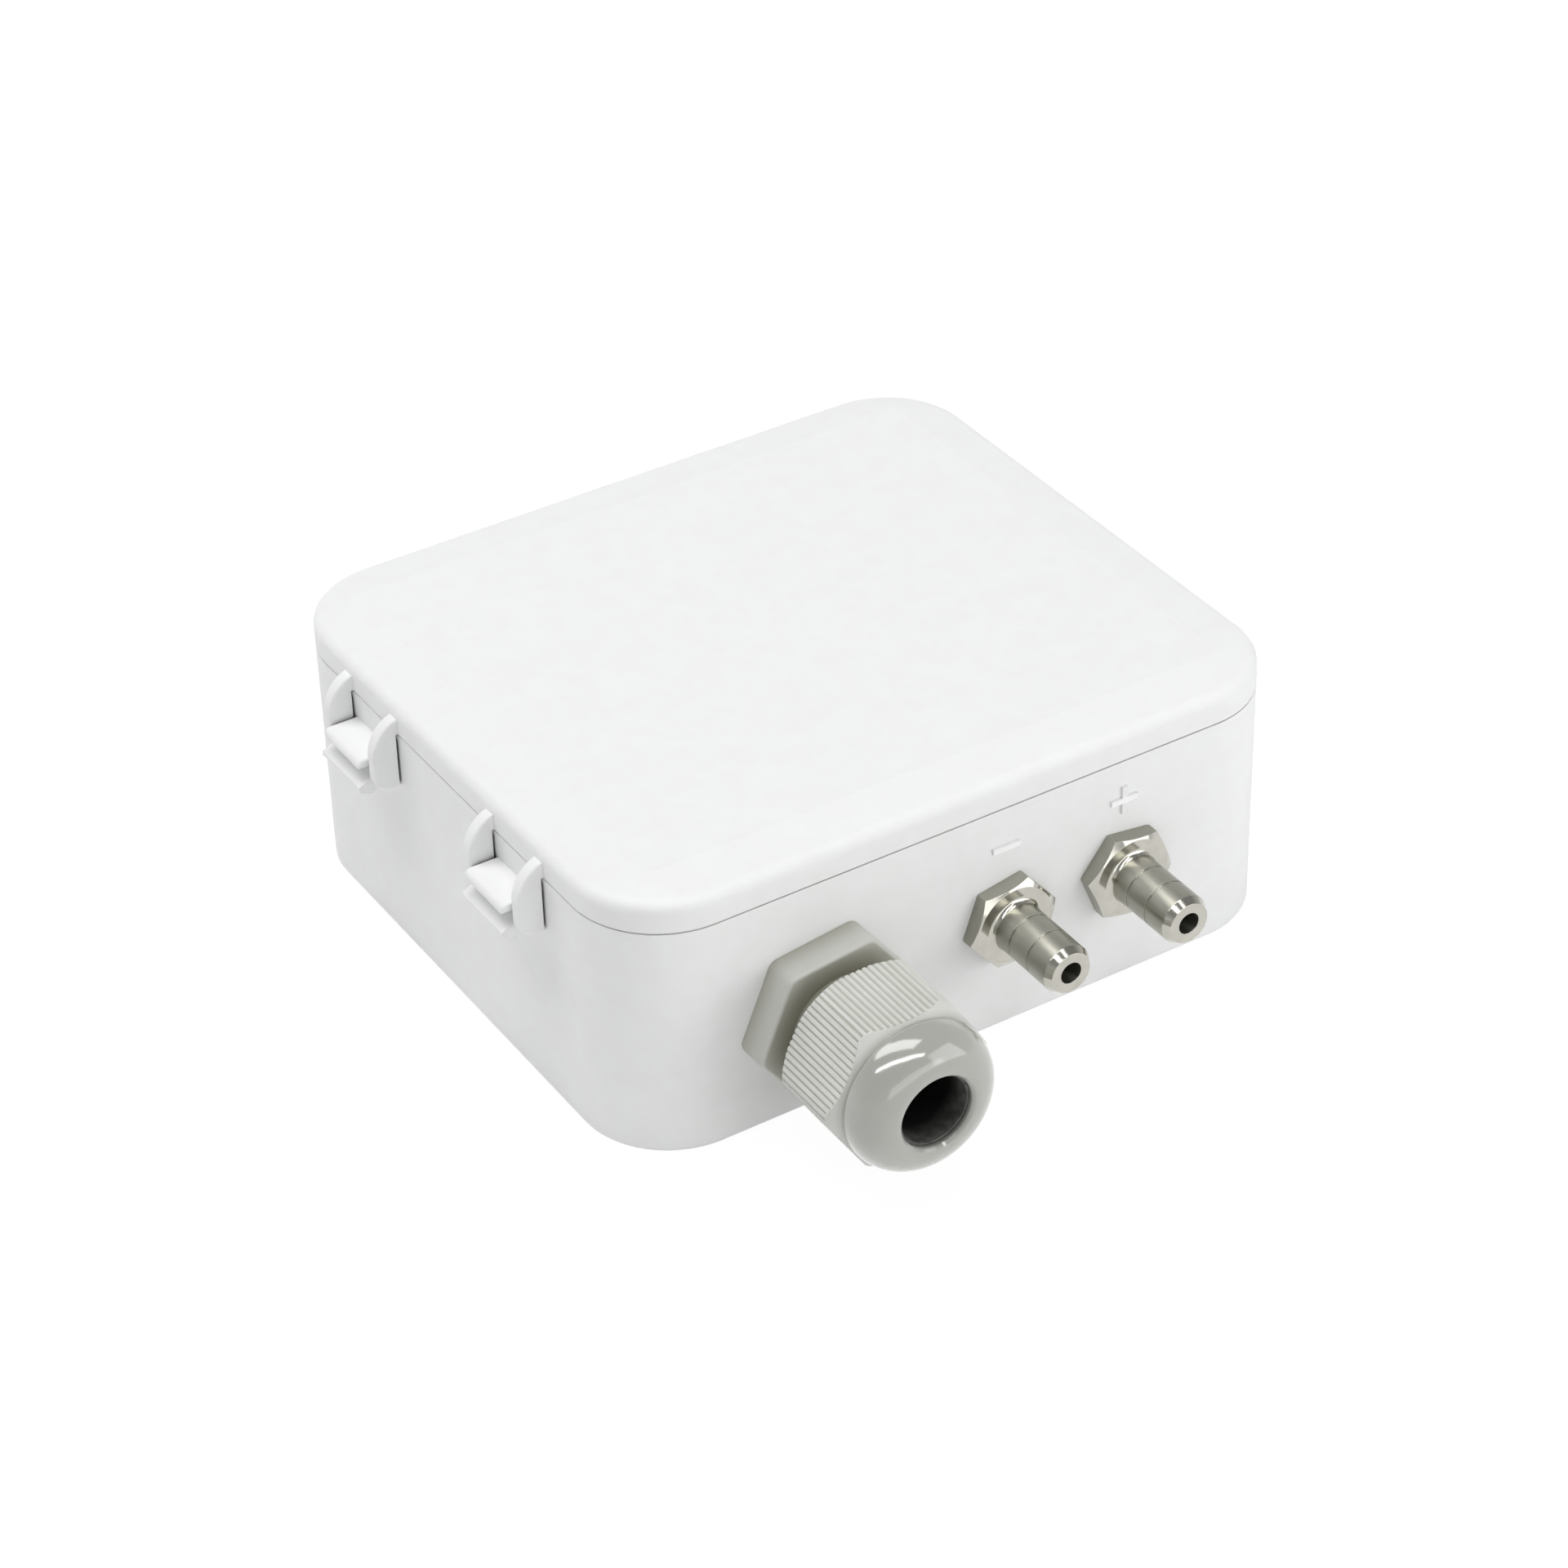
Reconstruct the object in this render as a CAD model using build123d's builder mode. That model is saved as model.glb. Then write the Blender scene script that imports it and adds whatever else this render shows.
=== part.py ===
from build123d import *
import math
import os

# Differential pressure transmitter for wall mounting, in millimetres.
# +X runs along the wall that carries the two pressure ports, +Y points away from that wall,
# and +Z runs from the flat back face to the lid. The origin is the centre of the back face.

# Housing
width = 105.0
depth = 93.3
corner_radius = 13.2
wall = 2.2
floor = 2.5
base_height = 35.4
back_edge_radius = 0.6

# Lid
seam_gap = 0.2
skirt_height = 4.2
lid_edge_radius = 1.7
lid_crown = 1.0
crown_border = 7.6
crown_corner = 0.6
lid_plate = 2.2
tongue_depth = 2.3
tongue_thickness = 1.2
tongue_clearance = 0.25

# Lid gasket
gasket_inset = 0.8
gasket_width = 1.2
gasket_height = 0.8
gasket_clearance = 0.06

# Snap latches on both side walls: two D-shaped fins and a cross bar on the lid, a catch on the base
latch_spacing = 39.0
latch_middle_y = 0.7
fin_thickness = 2.0
fin_gap = 10.7
fin_reach = 3.85
fin_root = 0.5
fin_rise = 2.3
fin_drop = 8.3
fin_shoulder = 0.4
fin_bulge_reach = 2.7
fin_bulge_rise = 0.5
fin_straight_drop = 3.9
fin_foot_radius = 1.9
fin_heel_radius = 1.3
fin_standoff = 0.35
fin_edge_radius = 0.35
catch_drop = 3.8
catch_height = 2.5
catch_reach = 5.1
catch_nose_height = 1.25
catch_nose_radius = 0.9
catch_underside = 3.4
catch_heel = 2.4
catch_edge_radius = 0.3
catch_side_clearance = 0.4
bar_clearance = 0.5
bar_root = 1.3
bar_depth = 2.4
bar_edge_radius = 0.35
lip_root = 3.6
lip_reach = 5.45
lip_drop = 1.3
lip_slope = 0.4

# Wall-mounting screw wells
screw_inset_x = 9.5
screw_inset_y = 10.65
wall_screw_hole = 4.4
screw_head_hole = 8.4
screw_well_radius = 5.4
screw_well_height = 6.0
screw_seat = 2.6

# Pressure ports
port_spacing = 19.0
port_middle_x = 14.55
port_z = 18.0
port_hex = 12.0
port_hex_thickness = 2.5
port_hex_chamfer = 0.7
port_hex_edge = 0.25
port_hex_corner = 0.95
port_root_radius = 0.8
port_turns = (10.0, -8.0)
port_barrel_radius = 3.6
port_reach = 15.0
port_tip_length = 1.1
port_tip_radius = 3.0
port_bore_radius = 1.6
port_grooves = (6.0, 10.0)
groove_width = 0.3
groove_depth = 0.18
port_thread_radius = 4.0
port_thread_length = 6.4
port_nut_thickness = 3.0
port_washer_radius = 6.6
port_washer_thickness = 0.8
thread_clearance = 0.1

# Raised signs over the ports
sign_z = 29.3
sign_length = 4.3
sign_width = 0.9
sign_height = 0.35

# Cable gland
gland_from_side = 28.7
gland_z = 15.9
gland_hex = 22.0
gland_flange = 5.0
gland_flange_turn = 7.0
gland_flange_corner = 1.8
gland_flange_edge = 0.5
gland_thread_radius = 8.0
gland_thread_length = 10.0
gland_bore_radius = 5.5
gland_neck_radius = 7.8
gland_sleeve_start = 8.8
gland_sleeve_radius = 8.5
gland_sleeve_end = 14.0
claw_root_radius = 7.7
claw_tip_radius = 7.2
claw_end = 19.3
claw_count = 8
claw_slot = 0.9
seal_seat = 9.0
seal_seat_slope = 1.0
nut_start = 8.6
nut_turn = 2.0
nut_hex = 22.0
nut_corner = 2.6
nut_corner_reach = 12.4
nut_cone_start = 19.7
nut_dome_start = 21.3
nut_crease_radius = 10.55
nut_shoulder = 0.8
nut_hollow_slope = (-0.6, 1.2)
nut_dome_radius = 10.8
nut_dome_middle = (9.6, 25.35)
nut_end = 27.0
nut_mouth_radius = 5.3
nut_mouth_depth = 1.0
nut_mouth_edge = 0.4
nut_mouth_rim = 1.2
nut_back_bevel = (1.25, 1.1)
nut_clearance = 0.1
rib_pitch = 0.88
ribs_on_half_flat = 5
corner_rib_turn = 20
rib_groove_side = 0.38
rib_end_land = 0.15
gland_lock_nut_thickness = 4.5
gland_gasket_inner = 8.3
gland_gasket_outer = 9.9
gland_gasket_thickness = 1.0

# Gland seal
seal_radius = 6.4
seal_bore = 5.0
seal_collar_radius = 7.6
seal_collar = 1.5
seal_length = 12.4
seal_clearance = 0.2
seal_end_clearance = 0.1
seal_edge = 0.7

# Hoses inside the case
hose_bore = 2.15
hose_wall = 1.15
hose_overlap = 5.4
hose_bend = 7.0
nipple_clearance = 0.05
nipple_edge = 0.4
hose_end_gap = 0.3
hose_lead = 1.6

# Circuit board
board_side_margin = 8.5
board_depth = 54.0
board_y = 1.0
board_z = 8.0
board_thickness = 1.6
board_corner = 2.0
board_screw_inset = 4.5
post_radius = 3.5
board_screw_radius = 1.4
board_screw_length = 6.0
board_screw_head = 2.8
board_screw_head_height = 2.0
board_screw_head_edge = 0.8
board_screw_slot = (3.0, 0.7, 1.1)
board_hole_clearance = 0.3

# Sensor cell
cell_width = 17.0
cell_depth = 15.0
cell_height = 8.0
cell_front_y = -14.0
cell_bevel = 0.7
nipple_spacing = 8.0
nipple_z = 14.2
nipple_length = 7.0

# Terminal block
terminal_pitch = 5.0
terminal_ways = 5
terminal_depth = 10.0
terminal_height = 10.0
terminal_offset = 1.3
terminal_y = -19.0
terminal_mouth = 3.2
terminal_mouth_height = 3.0
terminal_mouth_depth = 7.0
terminal_edge = 1.5
terminal_screw_radius = 1.8
terminal_screw_height = 1.8
terminal_screw_sink = 0.6
terminal_slot_width = 0.6
terminal_slot_overrun = 0.5
terminal_slot_depth = 0.8

# Small parts on the board
edge_part_inset = 11.0
switch_y = 14.0
switch_side = 6.0
switch_height = 3.5
button_radius = 1.7
button_height = 2.4
button_depth = 1.2
button_travel = 0.4
button_clearance = 0.05
switch_corner = 0.5
header_x = -2.0
header_from_edge = 9.0
header_pitch = 2.54
header_columns = 4
header_height = 2.5
pin_side = 0.64
pin_height = 8.5
chip_side = 10.0
chip_height = 1.4
chip_standoff = 0.1
chip_bevel = 0.3
lead_count = 9
lead_pitch = 1.0
lead_width = 0.4
lead_reach = 1.0
lead_height = 0.3
chip_x = 0.0
chip_y = 5.5
capacitor_y = 6.0
capacitor_radius = 4.0
capacitor_height = 10.0
lamp_y = 4.0
lamp_radius = 1.5
lamp_height = 3.4
lamp_rim = 0.35
lamp_rim_height = 1.0
chip_edge = 0.15
amplifier_size = (5.0, 4.0, 1.6)
amplifier_places = [(-14.0, 6.0), (-14.0, -2.0), (22.0, 8.0)]
diode_size = (6.5, 3.6, 2.2)
diode_y = 13.0
resistor_size = (3.2, 1.6, 0.7)
resistor_places = [(-24, 18), (-17, 18), (-27, -4), (-20, -6), (11, 14), (11, 18), (17, 14), (26, 20)]

# Places that follow from the sizes above
port_wall_y = -depth / 2
skirt_foot = base_height + seam_gap
lid_edge_z = skirt_foot + skirt_height
lid_top_z = lid_edge_z + lid_crown
fin_top = skirt_foot + fin_rise
fin_foot = skirt_foot - fin_drop
fin_straight_top = skirt_foot - fin_straight_drop
catch_top = base_height - catch_drop
catch_foot = catch_top - catch_height
catch_nose = catch_top - catch_nose_height
bar_top = catch_foot - bar_clearance
fin_offset = (fin_gap + fin_thickness) / 2
latch_sides = (-1, 1)
latch_places = [latch_middle_y - latch_spacing / 2, latch_middle_y + latch_spacing / 2]
port_places = [port_middle_x - port_spacing / 2, port_middle_x + port_spacing / 2]
gland_x = gland_from_side - width / 2
screw_spacing_x = width - 2 * screw_inset_x
screw_spacing_y = depth - 2 * screw_inset_y
board_top = board_z + board_thickness
board_width = width - 2 * board_side_margin
board_screw_x = board_width - 2 * board_screw_inset
board_screw_y = board_depth - 2 * board_screw_inset
terminal_x = gland_x + terminal_offset
switch_x = board_width / 2 - edge_part_inset
lamp_x = board_width / 2 - edge_part_inset
capacitor_x = edge_part_inset - board_width / 2
header_y = board_depth / 2 - header_from_edge
seal_end = nut_end - nut_mouth_depth - seal_end_clearance

os.makedirs("parts", exist_ok=True)


def wall_plane(x, z, out=0.0):
    """A plane on the port wall: local x is X, local y is Z, and the normal points outwards."""
    return Plane(origin=(x, port_wall_y - out, z), x_dir=(1, 0, 0), z_dir=(0, -1, 0))


def turned_plane(x, z):
    """A plane through an axis square to the port wall: local x is radius, local y runs outwards."""
    return Plane(origin=(x, port_wall_y, z), x_dir=(1, 0, 0), z_dir=(0, 0, -1))


def wall_axis(x, z):
    """The axis of a turned piece in the port wall."""
    return Axis((x, port_wall_y, z), (0, -1, 0))


def latch_plane(side, y):
    """A plane across a latch: local x runs out of the side wall and local y is Z."""
    return Plane(origin=(side * width / 2, y, 0), x_dir=(side, 0, 0), z_dir=(0, -side, 0))


def standing_out(edges, side, reach):
    """Those of the edges whose middle stands further out of the side wall than reach."""
    return [edge for edge in edges if side * edge.center().X > width / 2 + reach + 0.01]


def housing_outline(inset=0.0):
    """The housing's rounded outline in the active sketch, moved inwards by inset."""
    RectangleRounded(width - 2 * inset, depth - 2 * inset, corner_radius - inset)


# Base shell: the tray with its posts, screw wells, catches and signs
with BuildPart() as base_shell:
    with BuildSketch():
        housing_outline()
    extrude(amount=base_height)
    fillet(base_shell.edges().group_by(Axis.Z)[0], radius=back_edge_radius)
    with BuildSketch(Plane.XY.offset(floor)):
        housing_outline(wall)
    extrude(amount=base_height - floor, mode=Mode.SUBTRACT)

    # posts under the circuit board and wells for the wall screws
    with BuildSketch(Plane.XY.offset(floor)):
        with Locations((0, board_y)):
            with GridLocations(board_screw_x, board_screw_y, 2, 2):
                Circle(post_radius)
    extrude(amount=board_z - floor)
    with BuildSketch(Plane.XY.offset(floor)):
        with GridLocations(screw_spacing_x, screw_spacing_y, 2, 2):
            Circle(screw_well_radius)
    extrude(amount=screw_well_height - floor)
    with Locations((0, board_y, board_z)):
        with GridLocations(board_screw_x, board_screw_y, 2, 2):
            Hole(board_screw_radius + button_clearance, depth=board_screw_length - board_thickness + 0.4)
    with Locations((0, 0, screw_well_height)):
        with GridLocations(screw_spacing_x, screw_spacing_y, 2, 2):
            CounterBoreHole(wall_screw_hole / 2, screw_head_hole / 2, screw_well_height - screw_seat)

    # holes for the gland and the ports
    with BuildSketch(wall_plane(gland_x, gland_z)):
        Circle(gland_thread_radius + thread_clearance)
    extrude(amount=-2 * wall, mode=Mode.SUBTRACT)
    for port_x in port_places:
        with BuildSketch(wall_plane(port_x, port_z)):
            Circle(port_thread_radius + thread_clearance)
        extrude(amount=-2 * wall, mode=Mode.SUBTRACT)

    # catches for the latches, with a rounded nose
    for side in latch_sides:
        for latch_y in latch_places:
            with BuildSketch(latch_plane(side, latch_y)):
                with BuildLine():
                    Polyline(
                        (-wall / 2, catch_top),
                        (catch_reach, catch_top),
                        (catch_reach, catch_nose),
                        (catch_underside, catch_nose),
                        (catch_heel, catch_foot),
                        (-wall / 2, catch_foot),
                        close=True,
                    )
                make_face()
                fillet(vertices().group_by(Axis.X)[-1].sort_by(Axis.Y)[-1], radius=catch_nose_radius)
            extrude(amount=fin_gap / 2 - catch_side_clearance, both=True)
            end_edges = base_shell.faces(Select.LAST).filter_by(Axis.Y).edges()
            fillet(standing_out(end_edges, side, 0), radius=catch_edge_radius)

    # raised minus and plus signs above the ports
    with BuildSketch(wall_plane(port_places[0], sign_z)):
        Rectangle(sign_length, sign_width)
    extrude(amount=sign_height)
    with BuildSketch(wall_plane(port_places[1], sign_z)):
        Rectangle(sign_length, sign_width)
        Rectangle(sign_width, sign_length)
    extrude(amount=sign_height)

base_shell.part.label = "base_shell"
export_step(base_shell.part, "parts/base_shell.step")


# Lid: skirt, crowned top, tongue, and the latch fins with their bars
with BuildPart() as lid:
    with BuildSketch(Plane.XY.offset(skirt_foot)):
        housing_outline()
    extrude(amount=skirt_height)
    with BuildSketch(Plane.XY.offset(lid_edge_z)):
        housing_outline()
    with BuildSketch(Plane.XY.offset(lid_top_z)):
        RectangleRounded(width - 2 * crown_border, depth - 2 * crown_border, crown_corner)
    loft(ruled=True)
    rim = lid.edges().filter_by_position(Axis.Z, lid_edge_z - 0.01, lid_edge_z + 0.01)
    fillet(rim, radius=lid_edge_radius)
    cavity_inset = wall + tongue_clearance + tongue_thickness
    with BuildSketch(Plane.XY.offset(skirt_foot)):
        housing_outline(cavity_inset)
    extrude(amount=lid_edge_z - lid_plate - skirt_foot, mode=Mode.SUBTRACT)
    with BuildSketch(Plane.XY.offset(skirt_foot - tongue_depth)):
        housing_outline(wall + tongue_clearance)
        RectangleRounded(
            width - 2 * cavity_inset,
            depth - 2 * cavity_inset,
            corner_radius - cavity_inset,
            mode=Mode.SUBTRACT,
        )
    extrude(amount=tongue_depth)
    with BuildSketch(Plane.XY.offset(skirt_foot)):
        housing_outline(gasket_inset - gasket_clearance)
        gasket_inner = gasket_inset + gasket_width + gasket_clearance
        RectangleRounded(
            width - 2 * gasket_inner,
            depth - 2 * gasket_inner,
            corner_radius - gasket_inner,
            mode=Mode.SUBTRACT,
        )
    extrude(amount=gasket_height, mode=Mode.SUBTRACT)

    # latch fins: D-shaped plates that start under the lid's edge and stand off the base wall
    for side in latch_sides:
        for latch_y in latch_places:
            for fin_y in (latch_y - fin_offset, latch_y + fin_offset):
                with BuildSketch(latch_plane(side, fin_y)):
                    with BuildLine():
                        Line((-fin_root, fin_top), (fin_shoulder, fin_top))
                        ThreePointArc(
                            (fin_shoulder, fin_top),
                            (fin_bulge_reach, skirt_foot + fin_bulge_rise),
                            (fin_reach, fin_straight_top),
                        )
                        Polyline(
                            (fin_reach, fin_straight_top),
                            (fin_reach, fin_foot),
                            (fin_standoff, fin_foot),
                            (fin_standoff, skirt_foot),
                            (-fin_root, skirt_foot),
                            (-fin_root, fin_top),
                        )
                    make_face()
                    foot_corners = vertices().group_by(Axis.Y)[0].sort_by(Axis.X)
                    fillet(foot_corners[1], radius=fin_foot_radius)
                    fillet(foot_corners[0], radius=fin_heel_radius)
                extrude(amount=fin_thickness / 2, both=True)
                flat_edges = lid.faces(Select.LAST).filter_by(Axis.Y).edges()
                fillet(standing_out(flat_edges, side, fin_standoff), radius=fin_edge_radius)

            # cross bar that hooks under the catch, with a lip for the fingers
            with BuildSketch(latch_plane(side, latch_y)):
                with BuildLine():
                    Polyline(
                        (bar_root, bar_top - bar_depth / 2),
                        (bar_root, bar_top),
                        (lip_root, bar_top),
                        (lip_reach, bar_top - lip_drop + lip_slope),
                        (lip_reach, bar_top - lip_drop - lip_slope),
                        (lip_root, bar_top - bar_depth),
                        close=True,
                    )
                make_face()
                fillet(vertices().sort_by(Axis.X)[2:], radius=bar_edge_radius)
            extrude(amount=fin_gap / 2, both=True)

lid.part.label = "lid"
export_step(lid.part, "parts/lid.step")


# Lid gasket: a rubber strip in the groove of the lid's skirt
with BuildPart() as lid_gasket:
    with BuildSketch(Plane.XY.offset(base_height + 2 * gasket_clearance)):
        housing_outline(gasket_inset)
        strip_inner = gasket_inset + gasket_width
        RectangleRounded(
            width - 2 * strip_inner,
            depth - 2 * strip_inner,
            corner_radius - strip_inner,
            mode=Mode.SUBTRACT,
        )
    extrude(amount=gasket_height + seam_gap - 3 * gasket_clearance)

lid_gasket.part.label = "lid_gasket"
export_step(lid_gasket.part, "parts/lid_gasket.step")


# Gland body: hex flange, threaded tail, sleeve and the ring of clamping claws
with BuildPart() as gland_body:
    with BuildSketch(wall_plane(gland_x, gland_z)):
        RegularPolygon(gland_hex / 2, 6, major_radius=False, rotation=gland_flange_turn)
    extrude(amount=gland_flange)
    fillet(gland_body.edges().filter_by(Axis.Y), radius=gland_flange_corner)
    fillet(gland_body.edges().group_by(Axis.Y)[0], radius=gland_flange_edge)
    with BuildSketch(turned_plane(gland_x, gland_z)):
        with BuildLine():
            Polyline(
                (0, -gland_thread_length),
                (gland_thread_radius - 0.6, -gland_thread_length),
                (gland_thread_radius, -gland_thread_length + 0.6),
                (gland_thread_radius, gland_flange / 2),
                (gland_neck_radius, gland_flange / 2),
                (gland_neck_radius, gland_sleeve_start),
                (gland_sleeve_radius, gland_sleeve_start),
                (gland_sleeve_radius, gland_sleeve_end),
                (claw_root_radius, gland_sleeve_end),
                (claw_tip_radius, claw_end),
                (0, claw_end),
                close=True,
            )
        make_face()
    revolve(axis=wall_axis(gland_x, gland_z))
    with BuildSketch(turned_plane(gland_x, gland_z)):
        with BuildLine():
            Polyline(
                (0, -gland_thread_length),
                (gland_bore_radius, -gland_thread_length),
                (gland_bore_radius, seal_seat - seal_seat_slope),
                (seal_radius + seal_clearance, seal_seat),
                (seal_radius + seal_clearance, claw_end),
                (0, claw_end),
                close=True,
            )
        make_face()
    revolve(axis=wall_axis(gland_x, gland_z), mode=Mode.SUBTRACT)
    with BuildSketch(wall_plane(gland_x, gland_z, gland_sleeve_end)):
        with PolarLocations(claw_root_radius, claw_count):
            Rectangle(4 * (gland_sleeve_radius - seal_radius), claw_slot)
    extrude(amount=claw_end - gland_sleeve_end, mode=Mode.SUBTRACT)
    with BuildSketch(wall_plane(gland_x, gland_z)):
        Circle(gland_gasket_outer + seal_clearance)
        Circle(gland_thread_radius, mode=Mode.SUBTRACT)
    extrude(amount=gland_gasket_thickness, mode=Mode.SUBTRACT)

gland_body.part.label = "gland_body"
export_step(gland_body.part, "parts/gland_body.step")


# Gland nut: a ribbed hexagon, bevelled at its corners, that runs into a smooth dome
def bevel_start(radius):
    """How far out from the port wall the corner bevel has come down to the given radius."""
    steepness = (nut_dome_start - nut_cone_start) / (nut_corner_reach - nut_crease_radius)
    return nut_cone_start + (nut_corner_reach - radius) * steepness


with BuildPart() as gland_nut:
    with BuildSketch(wall_plane(gland_x, gland_z, nut_start)):
        RegularPolygon(nut_hex / 2, 6, major_radius=False, rotation=nut_turn)
        fillet(vertices(), radius=nut_corner)
    extrude(amount=nut_dome_start - nut_start)
    with BuildSketch(turned_plane(gland_x, gland_z)):
        with BuildLine():
            Polyline(
                (0, nut_start),
                (nut_corner_reach - nut_back_bevel[0], nut_start),
                (nut_corner_reach, nut_start + nut_back_bevel[1]),
                (nut_corner_reach, nut_cone_start),
                (nut_crease_radius, nut_dome_start),
                (0, nut_dome_start),
                close=True,
            )
        make_face()
    revolve(axis=wall_axis(gland_x, gland_z), mode=Mode.INTERSECT)

    # V-grooves between the ribs: each ends just short of the bevel
    for step in range(ribs_on_half_flat + 1):
        along = step * rib_pitch
        groove_end = bevel_start(math.hypot(nut_hex / 2, along)) - rib_end_land
        with BuildSketch(wall_plane(gland_x, gland_z, nut_start)):
            with PolarLocations(0, 6, start_angle=nut_turn + 30):
                with Locations((nut_hex / 2, along), (nut_hex / 2, -along)):
                    Rectangle(rib_groove_side, rib_groove_side, rotation=45)
        extrude(amount=groove_end - nut_start, mode=Mode.SUBTRACT)
    corner_centre = (nut_hex / 2 - nut_corner) / math.cos(math.radians(30))
    groove_end = bevel_start(corner_centre + nut_corner) - rib_end_land
    with BuildSketch(wall_plane(gland_x, gland_z, nut_start)):
        with PolarLocations(corner_centre, 6, start_angle=nut_turn):
            for lean in (-corner_rib_turn, 0, corner_rib_turn):
                with PolarLocations(nut_corner, 1, start_angle=lean):
                    Rectangle(rib_groove_side, rib_groove_side, rotation=45)
    extrude(amount=groove_end - nut_start, mode=Mode.SUBTRACT)

    # the dome rises from a crease over a rounded shoulder
    with BuildSketch(turned_plane(gland_x, gland_z)):
        with BuildLine():
            Polyline(
                (0, nut_end),
                (0, nut_dome_start),
                (nut_crease_radius, nut_dome_start),
            )
            shoulder_rise = nut_dome_radius - nut_crease_radius
            ThreePointArc(
                (nut_crease_radius, nut_dome_start),
                (nut_dome_radius - 0.2 * shoulder_rise, nut_dome_start + 0.4 * nut_shoulder),
                (nut_dome_radius, nut_dome_start + nut_shoulder),
            )
            ThreePointArc(
                (nut_dome_radius, nut_dome_start + nut_shoulder),
                nut_dome_middle,
                (nut_mouth_radius + nut_mouth_rim, nut_end),
            )
            Line((nut_mouth_radius + nut_mouth_rim, nut_end), (0, nut_end))
        make_face()
    revolve(axis=wall_axis(gland_x, gland_z))
    with BuildSketch(turned_plane(gland_x, gland_z)):
        with BuildLine():
            Polyline(
                (0, nut_start),
                (gland_sleeve_radius + nut_clearance, nut_start),
                (gland_sleeve_radius + nut_clearance, nut_dome_start + nut_hollow_slope[0]),
                (seal_collar_radius + seal_clearance, nut_dome_start + nut_hollow_slope[1]),
                (seal_collar_radius + seal_clearance, nut_end - nut_mouth_depth),
                (nut_mouth_radius, nut_end - nut_mouth_depth),
                (nut_mouth_radius, nut_end - nut_mouth_edge),
                (nut_mouth_radius + nut_mouth_edge, nut_end),
                (0, nut_end),
                close=True,
            )
        make_face()
    revolve(axis=wall_axis(gland_x, gland_z), mode=Mode.SUBTRACT)

gland_nut.part.label = "gland_nut"
export_step(gland_nut.part, "parts/gland_nut.step")


# Gland seal: the rubber sleeve that the claws press on the cable
with BuildPart() as gland_seal:
    with BuildSketch(turned_plane(gland_x, gland_z)):
        with BuildLine():
            Polyline(
                (seal_bore + seal_edge, seal_end - seal_length),
                (seal_radius, seal_end - seal_length),
                (seal_radius, seal_end - seal_collar),
                (seal_collar_radius, seal_end - seal_collar),
                (seal_collar_radius, seal_end),
                (seal_bore, seal_end),
                (seal_bore, seal_end - seal_length + seal_edge),
                close=True,
            )
        make_face()
    revolve(axis=wall_axis(gland_x, gland_z))

gland_seal.part.label = "gland_seal"
export_step(gland_seal.part, "parts/gland_seal.step")


# Gland gasket: the flat ring in the recess of the flange
with BuildPart() as gland_gasket:
    with BuildSketch(wall_plane(gland_x, gland_z)):
        Circle(gland_gasket_outer)
        Circle(gland_gasket_inner, mode=Mode.SUBTRACT)
    extrude(amount=gland_gasket_thickness)

gland_gasket.part.label = "gland_gasket"
export_step(gland_gasket.part, "parts/gland_gasket.step")


# Gland lock nut, inside the port wall
with BuildPart() as gland_lock_nut:
    with BuildSketch(wall_plane(gland_x, gland_z, -wall)):
        RegularPolygon(gland_hex / 2, 6, major_radius=False, rotation=30)
        Circle(gland_thread_radius + thread_clearance, mode=Mode.SUBTRACT)
    extrude(amount=-gland_lock_nut_thickness)
    chamfer(gland_lock_nut.edges().filter_by(Axis.Y), length=0.8)

gland_lock_nut.part.label = "gland_lock_nut"
export_step(gland_lock_nut.part, "parts/gland_lock_nut.step")


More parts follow.
